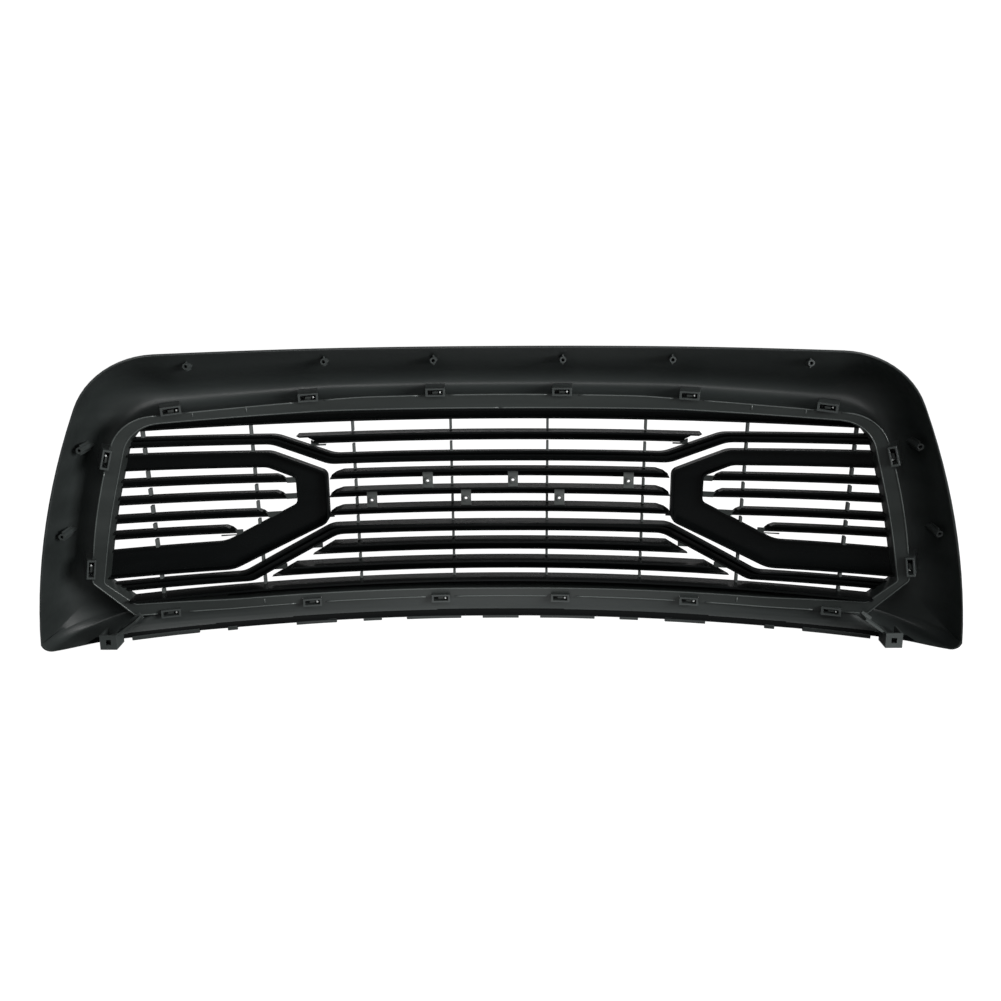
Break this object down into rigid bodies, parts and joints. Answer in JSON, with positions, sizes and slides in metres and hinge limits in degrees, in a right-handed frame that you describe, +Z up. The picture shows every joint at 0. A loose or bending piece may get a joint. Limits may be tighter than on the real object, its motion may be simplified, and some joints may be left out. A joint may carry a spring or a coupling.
{
  "type": "vehicle front grille",
  "caption": "Front grille for a full-size pickup: swept surround shell with a clipped-in insert of contoured louvres, side bezels and rear fixing bosses.",
  "frame": {"origin": "centre of the overall bounding box, on the vehicle's centreline", "axes": "+X to the vehicle's left, along the grille's width; +Y to the back of the grille, towards the radiator; +Z up"},
  "size_m": [1.2944, 0.2081, 0.4305],
  "materials": {
    "surround_plastic": "satin black moulded ABS, soft sheen on the back",
    "insert_plastic": "satin dark grey-black moulded ABS",
    "louvre_plastic": "gloss black moulded ABS"
  },
  "bodies": {
    "root": {"surround_shell": "surround_plastic", "top_screw_bosses": "surround_plastic", "side_screw_bosses": "surround_plastic", "top_clip_towers": "surround_plastic", "side_clip_towers": "surround_plastic", "bottom_clip_towers": "surround_plastic", "bottom_locating_tabs": "surround_plastic", "lower_bracket_left": "surround_plastic", "lower_bracket_right": "surround_plastic", "insert_frame": "insert_plastic", "insert_snap_hooks": "insert_plastic", "top_rail": "louvre_plastic", "bottom_rail": "louvre_plastic", "centre_louvre_1": "louvre_plastic", "centre_louvre_2": "louvre_plastic", "centre_louvre_3": "louvre_plastic", "centre_louvre_4": "louvre_plastic", "centre_louvre_5": "louvre_plastic", "centre_louvre_6": "louvre_plastic", "upper_contour_bar": "louvre_plastic", "lower_contour_bar": "louvre_plastic", "side_bezel_left": "louvre_plastic", "side_bezel_right": "louvre_plastic", "side_louvre_left_1": "louvre_plastic", "side_louvre_left_2": "louvre_plastic", "side_louvre_left_3": "louvre_plastic", "side_louvre_left_4": "louvre_plastic", "side_louvre_right_1": "louvre_plastic", "side_louvre_right_2": "louvre_plastic", "side_louvre_right_3": "louvre_plastic", "side_louvre_right_4": "louvre_plastic", "upright_rib_left_1": "insert_plastic", "upright_rib_left_2": "insert_plastic", "upright_rib_left_3": "insert_plastic", "upright_rib_left_4": "insert_plastic", "upright_rib_right_1": "insert_plastic", "upright_rib_right_2": "insert_plastic", "upright_rib_right_3": "insert_plastic", "upright_rib_right_4": "insert_plastic", "badge_tabs": "insert_plastic", "link_tabs_left": "insert_plastic", "link_tabs_right": "insert_plastic"}
  },
  "joints": []
}
